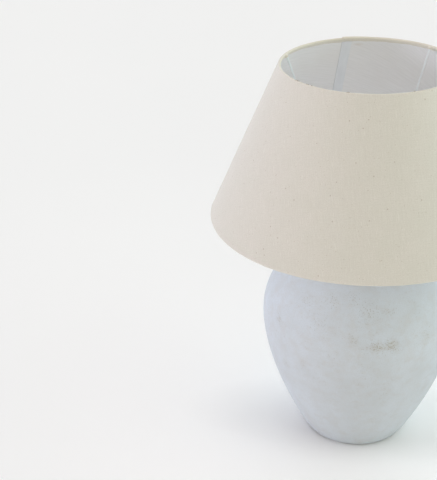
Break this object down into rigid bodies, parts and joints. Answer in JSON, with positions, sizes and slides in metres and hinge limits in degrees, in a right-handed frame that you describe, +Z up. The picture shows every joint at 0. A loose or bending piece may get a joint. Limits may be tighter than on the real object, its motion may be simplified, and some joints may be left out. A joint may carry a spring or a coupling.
{
  "type": "table lamp with shade",
  "caption": "Table lamp with a bulbous whitewashed ceramic body and a tapered linen shade on a wire frame, held by a screw lampholder with a push-through switch.",
  "frame": {"origin": "on the lamp's axis, at the underside of the felt foot", "axes": "+Z up along the lamp's axis, +Y towards the back where the lead enters, -Y towards the front, X along the switch bar"},
  "size_m": [0.3987, 0.3988, 0.5246],
  "materials": {
    "whitewashed_ceramic": "matt whitewash with small brown pits",
    "felt": "pressed felt",
    "black_rubber": "matt",
    "zinc_steel": "zinc plated",
    "nickel_cap": "satin nickel, spun",
    "holder_plastic": "moulded, slight sheen",
    "switch_plastic": "moulded",
    "steatite": "unglazed, pressed",
    "nickel_shell": "nickel plated",
    "brass": "plain",
    "black_glass": "vitreous",
    "bulb_body": "moulded",
    "opal_globe": "opal, satin",
    "linen": "plain-weave linen, stretched",
    "lining_film": "smooth film",
    "seam_film": "smooth film tape",
    "white_wire": "powder coated"
  },
  "bodies": {
    "base": {"felt_ring": "felt", "ceramic_body": "whitewashed_ceramic", "cable_grommet": "black_rubber", "threaded_tube": "zinc_steel", "inner_nut": "zinc_steel", "inner_rubber_washer": "black_rubber", "inner_steel_washer": "zinc_steel", "inner_spring_washer": "zinc_steel", "neck_gasket": "black_rubber", "neck_cap": "nickel_cap", "cap_locknut": "zinc_steel", "holder_cup": "holder_plastic", "holder_grub_screw": "zinc_steel", "holder_skirt": "holder_plastic", "contact_block": "steatite", "screw_shell": "nickel_shell", "centre_contact": "brass", "terminals": "brass", "terminal_screws": "brass"},
    "switch": {"switch_bar": "switch_plastic"},
    "ring": {"shade_ring": "holder_plastic"},
    "shade": {"shade_fabric": "linen", "shade_lining": "lining_film", "lining_seam_tape": "seam_film", "top_hoop": "white_wire", "bottom_hoop": "white_wire", "fitter_ring": "white_wire", "strut_1": "white_wire", "strut_2": "white_wire", "strut_3": "white_wire"},
    "bulb": {"bulb_tip": "brass", "bulb_insulator": "black_glass", "bulb_cap": "nickel_shell", "bulb_collar": "bulb_body", "bulb_globe": "opal_globe"}
  },
  "joints": [
    {"name": "switch_push", "type": "slide", "parent": "base", "child": "switch", "axis": [1, 0, 0], "range_m": [0, 0.005]},
    {"name": "shade_lift", "type": "slide", "parent": "base", "child": "ring", "axis": [0, 0, 1], "range_m": [0, 0.12]},
    {"name": "shade_swivel", "type": "hinge", "parent": "ring", "child": "shade", "pos_m": [0, 0, 0.3155], "axis": [0, 0, 1], "continuous": true},
    {"name": "bulb_lift", "type": "slide", "parent": "ring", "child": "bulb", "axis": [0, 0, 1], "range_m": [0, 0.22]}
  ]
}
